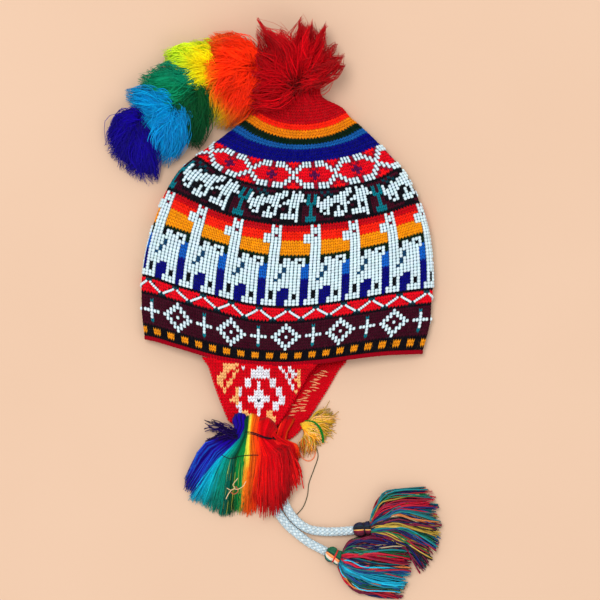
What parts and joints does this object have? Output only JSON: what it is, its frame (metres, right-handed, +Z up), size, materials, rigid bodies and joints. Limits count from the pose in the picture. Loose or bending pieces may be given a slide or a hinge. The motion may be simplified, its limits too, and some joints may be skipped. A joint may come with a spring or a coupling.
{
  "type": "chullo hat",
  "caption": "Knitted chullo hat with ear flaps, lying flat on its side: hollow beaded crown, pompom with a tail of coloured tufts, fringed flaps and braided tie cords ending in tassels.",
  "frame": {"origin": "on the resting face, in the middle of the crown's underside", "axes": "+Z up from the surface it lies on, +Y from the mouth towards the pompom, +X to the right seen from above"},
  "size_m": [0.3171, 0.5478, 0.0504],
  "materials": {
    "beaded_knit": "stockinette knit in stripes, with white glass beads",
    "red_knit": "stockinette knit with white and pale orange figures",
    "red_crochet": "crocheted yarn",
    "yarn_red": "cut yarn",
    "yarn_orange": "cut yarn",
    "yarn_lime": "cut yarn",
    "yarn_green": "cut yarn",
    "yarn_blue": "cut yarn",
    "yarn_indigo": "cut yarn",
    "yarn_turquoise": "cut yarn",
    "yarn_yellow": "cut yarn",
    "cord_white": "braided cord",
    "yarn_mixed": "cut yarn in many colours"
  },
  "bodies": {
    "root": {"crown": "beaded_knit", "rim_edging": "red_crochet", "ear_flap_near": "red_knit", "ear_flap_far": "red_knit", "crown_pompom": "yarn_red", "tail_tuft_orange": "yarn_orange", "tail_tuft_lime": "yarn_lime", "tail_tuft_green": "yarn_green", "tail_tuft_blue": "yarn_blue", "tail_tuft_indigo": "yarn_indigo", "near_fringe_indigo": "yarn_indigo", "near_fringe_turquoise": "yarn_turquoise", "near_fringe_green": "yarn_green", "near_fringe_yellow": "yarn_yellow", "near_fringe_red": "yarn_red", "far_fringe_red": "yarn_red", "far_fringe_yellow": "yarn_yellow", "tie_cord_near": "cord_white", "tie_cord_far": "cord_white", "tassel_head_near": "yarn_mixed", "tassel_head_far": "yarn_mixed", "tassel_skirt_near": "yarn_mixed", "tassel_skirt_far": "yarn_mixed"}
  },
  "joints": []
}
